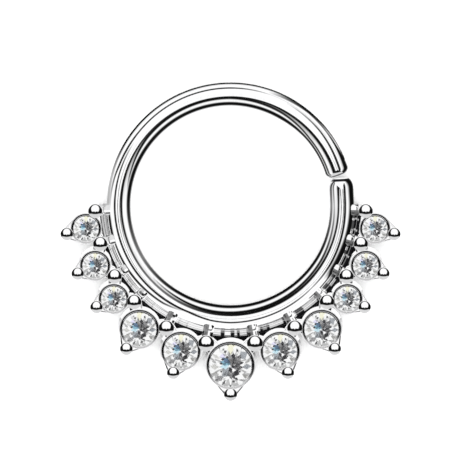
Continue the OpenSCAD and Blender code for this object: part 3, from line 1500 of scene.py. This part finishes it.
@dataclass(frozen=True)
class StoneFire:
    """Painted play of light in a cut stone: patches of painted glints and shade on its plan, a
    later one over an earlier one.

    The stone is clear inside a disc round clear_middle, as wide as the group's Rim says, and
    painted black beyond it.
    """

    clear_middle: Point = (-0.01, -0.03)
    rim_soft: float = 0.03
    shards: tuple[Shard, ...] = (
        Shard(0.00, 0.76, 0.30, 0.14, 90, Glint.STRAW),
        Shard(0.03, 0.90, 0.21, 0.12, 0, Glint.STRAW),
        Shard(0.57, 0.48, 0.25, 0.20, 30, Glint.MIST),
        Shard(0.74, -0.04, 0.22, 0.13, 0, Glint.MIST),
        Shard(0.84, 0.22, 0.10, 0.06, 20, Glint.PALE),
        Shard(0.68, -0.50, 0.20, 0.10, 140, Glint.PALE),
        Shard(-0.73, -0.05, 0.20, 0.13, 0, Glint.PALE),
        Shard(-0.66, 0.42, 0.20, 0.08, 150, Glint.PALE),
        Shard(-0.72, -0.34, 0.16, 0.06, 30, Glint.PALE),
        Shard(-0.50, -0.58, 0.26, 0.15, 35, Glint.GREY),
        Shard(-0.36, 0.45, 0.15, 0.12, 0, Glint.LILAC),
        Shard(-0.16, -0.26, 0.34, 0.26, 45, Glint.MIST),
        Shard(0.04, -0.37, 0.26, 0.17, 90, Glint.GREY),
        Shard(-0.01, 0.28, 0.34, 0.20, 100, Glint.GREY),
        Shard(0.28, 0.27, 0.32, 0.21, 50, Glint.DARK),
        Shard(0.15, 0.30, 0.28, 0.05, 75, Glint.COAL),
        Shard(0.37, 0.30, 0.16, 0.06, 140, Glint.GREY),
        Shard(0.32, -0.06, 0.27, 0.16, 0, Glint.DARK),
        Shard(0.30, 0.04, 0.26, 0.06, 20, Glint.COAL),
        Shard(-0.25, 0.01, 0.24, 0.16, 15, Glint.FROST),
        Shard(-0.24, 0.15, 0.25, 0.15, 165, Glint.SKY),
        Shard(-0.20, 0.27, 0.23, 0.13, 145, Glint.DUSK),
        Shard(0.12, 0.47, 0.13, 0.10, 80, Glint.BLACK),
        Shard(0.11, -0.02, 0.11, 0.07, 150, Glint.BLACK),
        Shard(0.00, -0.18, 0.15, 0.10, 110, Glint.BLACK),
        Shard(0.27, -0.31, 0.18, 0.15, 60, Glint.BLACK),
        Shard(0.12, -0.21, 0.11, 0.06, 70, Glint.WHITE),
        Shard(-0.16, 0.41, 0.07, 0.06, 0, Glint.BLACK),
        Shard(-0.36, 0.31, 0.08, 0.06, 0, Glint.BLACK),
        Shard(-0.43, 0.12, 0.08, 0.06, 0, Glint.COAL),
        Shard(0.49, 0.14, 0.12, 0.06, 10, Glint.COAL),
        Shard(-0.24, 0.65, 0.09, 0.06, 30, Glint.DARK),
        Shard(-0.33, 0.74, 0.07, 0.05, 60, Glint.GREY),
        Shard(0.31, 0.70, 0.09, 0.06, 120, Glint.DARK),
        Shard(-0.05, -0.42, 0.09, 0.06, 0, Glint.DARK),
        Shard(0.14, -0.48, 0.14, 0.07, 100, Glint.COAL),
        Shard(0.25, -0.58, 0.13, 0.06, 150, Glint.COAL),
        Shard(0.50, -0.67, 0.16, 0.05, 170, Glint.GREY),
        Shard(-0.31, -0.79, 0.15, 0.06, 55, Glint.DARK),
        Shard(0.14, -0.72, 0.10, 0.06, 20, Glint.DARK),
    )

    def make(self) -> bpy.types.ShaderNodeTree:
        """Makes the group of painted light.

        Returns:
            The group, with a Color output.
        """
        number = SocketKind.NUMBER
        group = new_group(
            "stone_fire",
            {"Plan": SocketKind.VECTOR, "Softness": number, "Rim": number},
            {"Color": SocketKind.COLOUR},
        )
        n = Nodes(group)
        inside = n.add("NodeGroupInput").outputs
        tone: object = Glint.CLEAR.value
        for shard in self.shards:
            dots = (n.vector("DOT_PRODUCT", inside["Plan"], axis) for axis in shard.axes())
            far = n.math("ADD", *(n.math("ABSOLUTE", dot) for dot in dots))
            depth = n.math("DIVIDE", n.math("SUBTRACT", 1.0, far), inside["Softness"])
            tone = n.mix(n.math("ADD", depth, 0.5, clamp=True), tone, shard.glint.value)
        place = n.split(inside["Plan"])[:2]
        bright = Mask(n).disc(place, self.clear_middle, (inside["Rim"],) * 2, self.rim_soft)
        n.add("NodeGroupOutput", Color=n.mix(bright, Glint.BLACK.value, tone))
        return group


@dataclass(frozen=True)
class StoneFinish:
    """Clear colourless stone with a hard polish, with glints and shade painted into its colour."""

    name: str = "clear_zirconia"
    ior: float = 2.16
    shine: Colour = (0.2, 0.2, 0.2)
    roughness: float = 0.0
    haze: float = 0.01
    grain_scale: float = 1.3
    stretch: float = 1.0
    softness: float = 0.25
    rim: float = 0.975

    def make(
        self, fire: bpy.types.ShaderNodeTree, polish: bpy.types.ShaderNodeTree
    ) -> bpy.types.Material:
        """Makes the material.

        Args:
            fire: The group of painted light that colours the stone.
            polish: The shared group of polishing marks.

        Returns:
            The material.
        """
        made = bpy.data.materials.new(self.name)
        n = empty_tree(made)
        marks = n.group(
            polish,
            Scale=self.grain_scale,
            Stretch=self.stretch,
            Base_Roughness=self.roughness,
            Haze=self.haze,
        ).outputs
        plan = n.add("ShaderNodeAttribute", {"attribute_name": PLAN}).outputs["Vector"]
        # Painted glints and shade on the stone's plan
        light = n.group(fire, Plan=plan, Softness=self.softness, Rim=self.rim).outputs["Color"]

        # A crossing takes the root of the shader's colour, so the painted light goes in squared, and
        # only where it enters
        leaving = n.add("ShaderNodeNewGeometry").outputs["Backfacing"]
        tone = n.mix(leaving, n.vector("MULTIPLY", light, light), Glint.WHITE.value)

        # Other pieces' mirrors show the studio in the stone's place
        path = n.add("ShaderNodeLightPath").outputs
        entered = n.math("GREATER_THAN", path["Transmission Depth"], 0.5)
        mirrored = Mask(n).less(path["Is Glossy Ray"], entered)
        shader = n.add(
            "ShaderNodeBsdfPrincipled",
            Base_Color=tone,
            Roughness=marks["Roughness"],
            IOR=self.ior,
            Alpha=n.math("SUBTRACT", 1.0, mirrored),
            Transmission_Weight=1.0,
            Specular_Tint=(*self.shine, 1.0),
        )
        n.output(shader)
        return made


# The studio


@dataclass(frozen=True)
class Knot:
    """One place on a dark line of the wire.

    angle is in degrees from the bottom of the hoop, across runs from -1 at the wire's inner
    edge to 1 at its outer edge, half is half the line's width on the same scale, and depth
    is how dark it is.
    """

    angle: float
    across: float
    half: float
    depth: float


class WireLine(Enum):
    """The dark lines that polished wire shows, each as its knots in order of angle."""

    INNER_EDGE = (
        Knot(-180, -0.82, 0.115, 1.00),
        Knot(-100, -0.80, 0.127, 1.00),
        Knot(-60, -0.83, 0.127, 0.54),
        Knot(-30, -0.90, 0.115, 1.00),
        Knot(30, -0.93, 0.115, 1.00),
        Knot(60, -0.89, 0.103, 0.97),
        Knot(90, -0.92, 0.092, 0.49),
        Knot(112, -0.88, 0.060, 0.88),
        Knot(132, -0.86, 0.070, 0.88),
        Knot(150, -0.87, 0.115, 1.00),
        Knot(180, -0.82, 0.115, 1.00),
    )
    INNER_UPPER = (
        Knot(-180, -0.17, 0.103, 0.81),
        Knot(-155, -0.14, 0.115, 0.80),
        Knot(-130, -0.18, 0.103, 0.76),
        Knot(-90, -0.23, 0.081, 1.00),
        Knot(-45, -0.27, 0.081, 0.54),
        Knot(0, -0.23, 0.127, 0.86),
        Knot(20, -0.28, 0.115, 1.00),
        Knot(60, -0.30, 0.081, 0.97),
        Knot(90, -0.34, 0.069, 0.81),
        Knot(110, -0.26, 0.120, 1.00),
        Knot(150, -0.24, 0.130, 1.00),
        Knot(180, -0.18, 0.103, 0.97),
    )
    INNER_LOWER = (
        Knot(-180, -0.34, 0.115, 1.00),
        Knot(-130, -0.37, 0.092, 1.00),
        Knot(-110, -0.54, 0.057, 0.81),
        Knot(-98, -0.60, 0.046, 0.00),
        Knot(-48, -0.55, 0.046, 0.00),
        Knot(-30, -0.50, 0.069, 0.92),
        Knot(-10, -0.40, 0.103, 1.00),
        Knot(30, -0.47, 0.092, 1.00),
        Knot(60, -0.52, 0.081, 0.81),
        Knot(90, -0.70, 0.057, 0.32),
        Knot(112, -0.71, 0.060, 0.80),
        Knot(130, -0.69, 0.060, 0.80),
        Knot(140, -0.60, 0.070, 0.80),
        Knot(150, -0.51, 0.081, 0.81),
        Knot(180, -0.34, 0.115, 1.00),
    )
    INNER_SHADE = (
        Knot(-180, -0.26, 0.12, 0.45),
        Knot(-120, -0.30, 0.12, 0.30),
        Knot(-90, -0.40, 0.12, 0.00),
        Knot(-30, -0.40, 0.12, 0.15),
        Knot(0, -0.32, 0.12, 0.55),
        Knot(30, -0.38, 0.12, 0.15),
        Knot(80, -0.50, 0.20, 0.12),
        Knot(105, -0.50, 0.12, 0.02),
        Knot(122, -0.50, 0.12, 0.05),
        Knot(135, -0.44, 0.13, 0.20),
        Knot(180, -0.26, 0.12, 0.45),
    )
    TOP_OUTER = (
        Knot(-180, 0.46, 0.052, 0.97),
        Knot(-130, 0.46, 0.052, 0.97),
        Knot(-118, 0.49, 0.070, 1.00),
        Knot(-110, 0.53, 0.065, 1.00),
        Knot(-105, 0.60, 0.060, 0.70),
        Knot(-97, 0.67, 0.060, 0.35),
        Knot(-88, 0.70, 0.050, 0.00),
        Knot(160, 0.47, 0.040, 0.11),
        Knot(180, 0.46, 0.052, 0.97),
    )
    FAN_UPPER = (
        Knot(-124, 0.27, 0.046, 0.00),
        Knot(-110, 0.29, 0.052, 0.86),
        Knot(-90, 0.32, 0.069, 1.00),
        Knot(-60, 0.29, 0.069, 1.00),
        Knot(-22, 0.17, 0.081, 1.00),
        Knot(-10, 0.36, 0.057, 0.97),
        Knot(0, 0.41, 0.057, 0.86),
        Knot(30, 0.33, 0.057, 0.81),
        Knot(45, 0.29, 0.046, 0.38),
        Knot(60, 0.31, 0.081, 0.92),
        Knot(90, 0.21, 0.081, 1.00),
        Knot(112, 0.25, 0.081, 1.00),
        Knot(130, 0.36, 0.057, 0.86),
        Knot(152, 0.38, 0.046, 0.00),
    )
    FAN_LOWER_LEFT = (
        Knot(-89, 0.83, 0.06, 0.60),
        Knot(-84, 0.84, 0.12, 1.00),
        Knot(-78, 0.84, 0.12, 1.00),
        Knot(-73, 0.79, 0.06, 0.80),
        Knot(-60, 0.76, 0.08, 1.00),
        Knot(-50, 0.68, 0.08, 0.95),
        Knot(-35, 0.54, 0.07, 0.80),
        Knot(-24, 0.27, 0.06, 0.00),
    )
    FAN_LOWER_RIGHT = (
        Knot(40, 0.80, 0.04, 0.70),
        Knot(53, 0.80, 0.05, 0.80),
        Knot(58, 0.72, 0.18, 1.00),
        Knot(68, 0.75, 0.20, 1.00),
        Knot(76, 0.76, 0.18, 1.00),
        Knot(90, 0.77, 0.18, 1.00),
        Knot(105, 0.78, 0.20, 1.00),
        Knot(114, 0.77, 0.13, 1.00),
        Knot(120, 0.75, 0.07, 1.00),
        Knot(128, 0.76, 0.06, 0.50),
        Knot(140, 0.81, 0.08, 0.90),
        Knot(150, 0.77, 0.12, 0.65),
        Knot(162, 0.62, 0.08, 0.00),
    )
    FAN_SHADE_RIGHT = (
        Knot(52, 0.60, 0.13, 0.00),
        Knot(57, 0.60, 0.14, 0.45),
        Knot(68, 0.62, 0.14, 0.45),
        Knot(82, 0.68, 0.12, 0.15),
        Knot(92, 0.70, 0.10, 0.00),
    )
    OUTER_EDGE_LEFT = (
        Knot(-180, 0.95, 0.130, 1.00),
        Knot(-122, 0.95, 0.130, 1.00),
        Knot(-112, 0.93, 0.130, 0.50),
        Knot(-104, 0.90, 0.120, 0.28),
        Knot(-91, 0.88, 0.140, 0.32),
        Knot(-89, 0.88, 0.140, 0.00),
    )
    OUTER_EDGE_RIGHT = (
        Knot(112, 0.96, 0.110, 0.85),
        Knot(118, 0.98, 0.070, 0.60),
        Knot(127, 0.96, 0.090, 0.75),
        Knot(134, 0.95, 0.110, 0.90),
        Knot(180, 0.95, 0.130, 1.00),
    )


@dataclass(frozen=True)
class WireLines:
    """The pattern of light that the cards give the wire."""

    darkest: float = 0.004
    display_power: float = 2.2
    edge_power: int = 6

    def tone(self, angle: np.ndarray, across: np.ndarray) -> np.ndarray:
        """Brightness at places on the wire.

        Args:
            angle: Degrees from the bottom of the hoop.
            across: -1 at the wire's inner edge to 1 at its outer edge.

        Returns:
            The brightness, from 0 to 1, in the same shape.
        """
        light = np.ones_like(across)
        for line in WireLine:
            knots = line.value
            at = [k.angle for k in knots]
            middle = np.interp(angle, at, [k.across for k in knots])
            half = np.interp(angle, at, [k.half for k in knots])
            depth = np.interp(angle, at, [k.depth for k in knots])
            depth = np.where((angle < at[0]) | (angle > at[-1]), 0.0, depth)
            light = light * (1 - depth / (1 + ((across - middle) / half) ** self.edge_power))
        return self.darkest + (1 - self.darkest) * light ** self.display_power


@dataclass
class Card:
    """A thin card round the hoop's axis that only the wire's reflections see.

    Its grid is found by following the camera's rays off the wire, so each line of the wire
    is named by the place where it shows. slope_from and slope_to say which part of the wire's
    surface it serves, in degrees from its top, and are below 0 towards the hoop's axis.
    """

    name: str
    radius: float
    wire: WireSizes
    eye: Vector
    axis: Vector
    slope_from: float
    slope_to: float
    top: float = 4.5
    floor_z: float = 0.012
    level: float = 1e-6
    slopes: int = 110
    turns: int = 360
    reach: float = 0.95
    glow: float = 1.14

    def grid(self) -> tuple[np.ndarray, np.ndarray]:
        """Follows the camera's rays off the wire to the card and the floor.

        Returns:
            The places on the card in mm, and the brightness at each.
        """
        turn = np.radians(np.linspace(-180, 180, self.turns + 1))[:, None]
        slope = np.radians(np.linspace(self.slope_from, self.slope_to, self.slopes))[None, :]
        right, up = np.array([1.0, 0, 0]), np.array([0, 0, 1.0])
        outward = np.stack([np.sin(turn), -np.cos(turn), 0 * turn], -1)
        normal = outward * np.sin(slope)[..., None] + up * np.cos(slope)[..., None]
        wire_r, hoop_r = self.wire.wire_r, self.wire.hoop_r
        middle = up * wire_r
        place = outward * hoop_r + normal * wire_r + middle
        view = np.array(self.eye) - place
        view /= np.linalg.norm(view, axis=-1, keepdims=True)
        ray = 2 * (view * normal).sum(-1, keepdims=True) * normal - view
        hit = self.meet(place, ray)
        x = place @ right
        y = (place - middle) @ np.cross(np.array(self.axis), right)
        angle = np.degrees(np.arctan2(x, -y))

        # The first and last rows are both at the top of the hoop, where the angle jumps
        angle[0], angle[-1] = -180.0, 180.0
        across = (np.hypot(x, y) - hoop_r) / wire_r
        return hit, WireLines().tone(angle, across)

    def meet(self, place: np.ndarray, ray: np.ndarray) -> np.ndarray:
        """Finds where rays meet the upright card or, if it comes first, the floor.

        Args:
            place: Where each ray starts.
            ray: Its unit direction.

        Returns:
            Where each ray ends.
        """
        a = (ray[..., :2] ** 2).sum(-1)
        b = (place[..., :2] * ray[..., :2]).sum(-1)
        c = (place[..., :2] ** 2).sum(-1) - self.radius**2
        root = np.sqrt(np.maximum(b * b - a * c, 0))
        far = (-b - root) / a if self.slope_to < 0 else (-b + root) / a
        rise = ray[..., 2]
        to_floor = (self.floor_z - place[..., 2]) / np.minimum(rise, -self.level)
        down = np.where(rise < -self.level, to_floor, np.inf)
        return place + ray * np.minimum(far, down)[..., None]

    def build(self) -> bpy.types.Object:
        """Builds the card and lights it.

        Returns:
            The card.
        """
        hit, tone = self.grid()
        keep = hit[..., 2] < self.top
        faces = []
        for i in range(self.turns):
            for k in range(self.slopes - 1):
                corners = ((i, k), (i + 1, k), (i + 1, k + 1), (i, k + 1))
                if all(keep[c] for c in corners):
                    faces.append(tuple(a * self.slopes + b for a, b in corners))
        mesh = bpy.data.meshes.new(self.name)
        mesh.from_pydata((hit.reshape(-1, 3) * MM).tolist(), [], faces)
        mesh.attributes.new(CARD_TONE, "FLOAT", "POINT").data.foreach_set("value", tone.ravel())
        made = new_object(self.name, mesh)
        for seen_by in ("camera", "diffuse", "transmission", "shadow", "volume_scatter"):
            setattr(made, f"visible_{seen_by}", False)
        mesh.materials.append(self.paper())
        return made

    def paper(self) -> bpy.types.Material:
        """Makes the card's glowing paper, which is clear to anything but the wire beside it.

        It shows its front to rays whose level length is less than the card's reach.

        Returns:
            The paper.
        """
        made = bpy.data.materials.new(self.name)
        made.cycles.emission_sampling = "NONE"
        n = empty_tree(made)
        tone = n.add("ShaderNodeAttribute", {"attribute_name": CARD_TONE}).outputs["Fac"]
        glow = n.add("ShaderNodeEmission", Color=n.grey(tone), Strength=self.glow)
        height = n.split(n.add("ShaderNodeTexCoord").outputs["Object"])[2]
        rise = n.math("SUBTRACT", n.math("MULTIPLY", height, MM_PER_M), self.wire.wire_d)
        length = n.math("MULTIPLY", n.add("ShaderNodeLightPath").outputs["Ray Length"], MM_PER_M)
        squares = (n.math("MULTIPLY", side, side) for side in (length, rise))
        near = n.math("LESS_THAN", n.math("SUBTRACT", *squares), self.reach**2)
        facing = n.math("SUBTRACT", 1.0, n.add("ShaderNodeNewGeometry").outputs["Backfacing"])
        shown = n.add("ShaderNodeMixShader")
        n.put(shown.inputs[0], n.math("MULTIPLY", near, facing))
        n.put(shown.inputs[1], n.add("ShaderNodeBsdfTransparent").outputs[0])
        n.put(shown.inputs[2], glow.outputs[0])
        n.output(shown)
        return made


@dataclass(frozen=True)
class PolishedBall:
    """What a polished ball under the camera shows: a white dome over the dark gaps of a tent.

    Places are in shares of the ball's radius, to the right and up the picture. The lens is the
    dark gap below the dome, with a light spot for flat tops, and the foot is the grey below it.
    The rim is light, a little less so low down, and wider above.
    """

    dome_at: Point = (0.0, 0.27)
    dome_reach: Point = (0.56, 0.575)
    dome_soft: float = 0.08
    lens_at: Point = (0.0, -0.26)
    lens_reach: Point = (0.64, 0.20)
    lens_soft: float = 0.25
    spot_reach: Point = (0.065, 0.065)
    spot_soft: float = 0.3
    foot_top: float = -0.38
    foot_soft: float = 0.05
    foot_light: float = 0.68
    rim_from: float = 0.945
    rim_soft: float = 0.02
    wide_rim: float = 0.065
    wide_rim_foot: float = 0.35
    wide_rim_soft: float = 0.12
    low_rim_light: float = 0.8
    full_rim_foot: float = 0.3
    full_rim_soft: float = 0.1
    darkest: float = 0.006

    def light(
        self, m: Mask, ball: Sequence[bpy.types.NodeSocket], level_v: float
    ) -> bpy.types.NodeSocket:
        """Lays out the ball's picture.

        Args:
            m: The tree's mask maker.
            ball: The place on the ball.
            level_v: How far up the ball its surface lies level.

        Returns:
            The light there, from 0 to 1.
        """
        n = m.n
        u, v = ball
        dome = m.disc(ball, self.dome_at, self.dome_reach, self.dome_soft)
        spot = m.disc(ball, (0.0, level_v), self.spot_reach, self.spot_soft)
        lens = m.less(m.disc(ball, self.lens_at, self.lens_reach, self.lens_soft), spot)
        low = m.outside(m.above(v, self.foot_top, self.foot_soft))
        foot = n.math("MULTIPLY", low, self.foot_light)
        bright = m.either(m.less(dome, lens), m.less(foot, lens))
        far = n.math("ADD", n.math("MULTIPLY", u, u), n.math("MULTIPLY", v, v))
        high = m.above(v, self.wide_rim_foot, self.wide_rim_soft)
        edge = n.math("SUBTRACT", self.rim_from, n.math("MULTIPLY", high, self.wide_rim))
        full = m.above(v, self.full_rim_foot, self.full_rim_soft)
        rim_light = n.math("ADD", full, self.low_rim_light, clamp=True)
        rim = m.both(m.above(far, edge, self.rim_soft), rim_light)
        return n.math("ADD", m.either(bright, rim), self.darkest)


@dataclass
class Studio:
    """Pale floor, soft white tent with dark gaps, two banded cards by the wire, and the camera."""

    wire: WireSizes
    distance: float = 160.0
    tilt_deg: float = 5.5
    pixels_per_mm: float = 19.92
    frame_px: int = 470
    aim: Point3 = (0.223, -1.456, 0.6)
    sensor_mm: float = 36.0
    clip_m: Point = (0.001, 10.0)
    floor_half: float = 600.0
    floor_grain: float = 400.0
    floor_tones: tuple[Point, ...] = ((0.2, 0.965), (0.8, 0.985))
    inner_card_r: float = 4.75
    outer_card_r: float = 6.40
    card_slopes: Point = (4.0, 90.0)
    mirrored_light: float = 1.08
    plain_light: float = 1.9
    stone_light: float = 1.06
    stone_plainness: float = 0.5

    def axis(self) -> Vector:
        """Unit direction from the ring to the camera."""
        t = math.radians(self.tilt_deg)
        return Vector((0, math.sin(t), math.cos(t)))

    def eye(self) -> Vector:
        """The camera's place in mm."""
        return Vector(self.aim) + self.axis() * self.distance

    def camera(self) -> bpy.types.Object:
        """Sets the camera at the photograph's angle.

        Returns:
            The camera.
        """
        data = bpy.data.cameras.new("view")
        data.sensor_width = self.sensor_mm
        data.lens = self.sensor_mm * self.distance * self.pixels_per_mm / self.frame_px
        data.clip_start, data.clip_end = self.clip_m
        made = new_object("view", data)
        made.location = self.eye() * MM
        made.rotation_euler = (-math.radians(self.tilt_deg), 0, 0)
        bpy.context.scene.camera = made
        return made

    def floor(self) -> bpy.types.Object:
        """Lays the pale floor that the ring rests on.

        Returns:
            The floor.
        """
        h = self.floor_half * MM
        mesh = bpy.data.meshes.new("floor")
        mesh.from_pydata([(-h, -h, 0), (h, -h, 0), (h, h, 0), (-h, h, 0)], [], [(0, 1, 2, 3)])
        pale = bpy.data.materials.new("pale_floor")
        n = empty_tree(pale)
        grain = n.add("ShaderNodeTexNoise", Scale=self.floor_grain, Detail=2.0)
        stops = [(place, (tone, tone, tone)) for place, tone in self.floor_tones]
        n.output(n.add("ShaderNodeBsdfDiffuse", Color=n.ramp(grain.outputs[0], stops)))
        mesh.materials.append(pale)
        made = new_object("floor", mesh)
        made.visible_glossy = False
        return made

    def on_ball(self, n: Nodes) -> list[bpy.types.NodeSocket]:
        """Finds the place on a polished ball under the camera that mirrors a direction.

        Args:
            n: The world's node maker.

        Returns:
            The place, to the right and up the picture, in shares of the ball's radius.
        """
        way = n.add("ShaderNodeTexCoord").outputs["Generated"]
        unit = n.vector("NORMALIZE", n.vector("ADD", way, tuple(self.axis())))
        t = math.radians(self.tilt_deg)
        bases = ((1.0, 0.0, 0.0), (0.0, math.cos(t), -math.sin(t)))
        return [n.vector("DOT_PRODUCT", unit, basis) for basis in bases]

    def sky(self) -> None:
        """Sets the white tent, with the dark gaps that polished metal shows.

        Mirrors see the polished ball's picture, and what is seen inside a stone is part of it
        and part of the plain tent. Everything else gets the tent's plain light.
        """
        world = bpy.data.worlds.new("soft_light")
        bpy.context.scene.world = world
        n = empty_tree(world)
        level_v = -math.sin(math.radians(self.tilt_deg))
        picture = PolishedBall().light(Mask(n), self.on_ball(n), level_v)
        path = n.add("ShaderNodeLightPath").outputs
        in_stone = path["Is Transmission Ray"]
        dimmed = n.math("MULTIPLY", in_stone, self.stone_light - self.plain_light)
        plain = n.math("ADD", dimmed, self.plain_light)
        kept = n.math("SUBTRACT", 1.0, n.math("MULTIPLY", in_stone, self.stone_plainness))
        is_mirror = n.math("MULTIPLY", path["Is Glossy Ray"], kept)
        mirrored = n.math("MULTIPLY", n.math("MULTIPLY", picture, self.mirrored_light), is_mirror)
        rest = n.math("MULTIPLY", n.math("SUBTRACT", 1.0, is_mirror), plain)
        shown = n.math("ADD", mirrored, rest)
        n.output(n.add("ShaderNodeBackground", Color=n.grey(shown)), "ShaderNodeOutputWorld")

    def build(self) -> None:
        """Sets up the camera, the floor, the light and the picture's tone."""
        self.camera()
        self.floor()
        self.sky()
        eye, axis = self.eye(), self.axis()
        shallow, steep = self.card_slopes
        Card("inner_card", self.inner_card_r, self.wire, eye, axis, -steep, -shallow).build()
        Card("outer_card", self.outer_card_r, self.wire, eye, axis, shallow, steep).build()
        bpy.context.scene.view_settings.view_transform = "Standard"


def main() -> None:
    """Builds the studio, the finishes and the ring, in that order."""
    logging.basicConfig(level=logging.INFO, format="%(message)s")
    wire = WireSizes()
    Studio(wire).build()
    sizes = FanSizes()
    polish = FinePolish().make()
    wire_steel = SteelFinish("wire_steel").make(polish)
    cast_steel = SteelFinish("cast_steel", stretch=2.0, haze=0.045).make(polish)
    stone = StoneFinish().make(StoneFire().make(), polish)
    Hoop(wire).build(wire_steel)
    Gallery(sizes).build(cast_steel)
    SharedBeads(sizes).build(cast_steel)
    for i, cup in enumerate(sizes.cups):
        for side in (Side.RIGHT,) if i == 0 else Side:
            name = "centre" if i == 0 else f"{side.name.lower()}_{i}"
            Setting(sizes, cup, side, name).build(cast_steel, stone)


if __name__ == "__main__":
    main()
